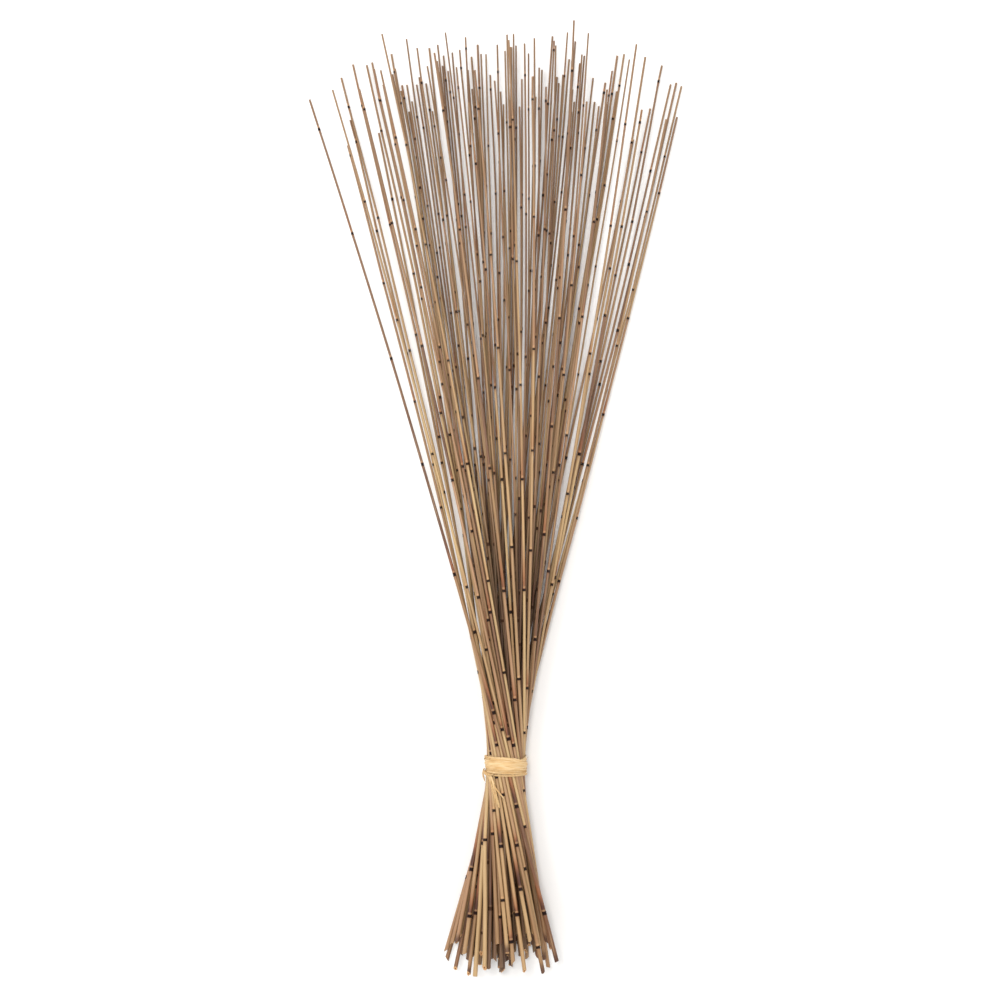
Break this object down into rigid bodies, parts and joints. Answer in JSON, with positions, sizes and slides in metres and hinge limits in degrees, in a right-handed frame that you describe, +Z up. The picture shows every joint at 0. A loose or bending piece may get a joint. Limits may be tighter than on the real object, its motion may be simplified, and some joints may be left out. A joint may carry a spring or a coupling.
{
  "type": "bunch of reeds",
  "caption": "Bunch of long dried reeds tied at the waist with raffia, lying on its side: straight jointed stems that fan out above the tie and splay a little at their cut butts.",
  "frame": {"origin": "under the middle of the bunch's bounding box, on the surface that it lies on", "axes": "+Y along the bunch, from the cut butts to the tips; +Z up, away from the surface; +X across the fan"},
  "size_m": [0.3994, 1.003, 0.0964],
  "materials": {
    "reed": "dry satin culm, golden tan with brown joints",
    "raffia": "matte pale fibrous strip"
  },
  "bodies": {
    "root": {"inner_reeds_01": "reed", "inner_reeds_02": "reed", "inner_reeds_03": "reed", "inner_reeds_04": "reed", "inner_reeds_05": "reed", "inner_reeds_06": "reed", "inner_reeds_07": "reed", "inner_reeds_08": "reed", "inner_reeds_09": "reed", "inner_reeds_10": "reed", "reed_01": "reed", "reed_02": "reed", "reed_03": "reed", "reed_04": "reed", "reed_05": "reed", "reed_06": "reed", "reed_07": "reed", "reed_08": "reed", "reed_09": "reed", "reed_10": "reed", "reed_11": "reed", "reed_12": "reed", "reed_13": "reed", "reed_14": "reed", "reed_15": "reed", "reed_16": "reed", "reed_17": "reed", "reed_18": "reed", "reed_19": "reed", "reed_20": "reed", "reed_21": "reed", "reed_22": "reed", "reed_23": "reed", "reed_24": "reed", "reed_25": "reed", "reed_26": "reed", "reed_27": "reed", "reed_28": "reed", "reed_29": "reed", "reed_30": "reed", "reed_31": "reed", "reed_32": "reed", "reed_33": "reed", "reed_34": "reed", "reed_35": "reed", "reed_36": "reed", "reed_37": "reed", "reed_38": "reed", "reed_39": "reed", "reed_40": "reed", "reed_41": "reed", "reed_42": "reed", "reed_43": "reed", "reed_44": "reed", "reed_45": "reed", "raffia_band": "raffia", "raffia_knot": "raffia", "raffia_tail_main": "raffia", "raffia_tail_fork": "raffia", "raffia_tail_short": "raffia"}
  },
  "joints": []
}
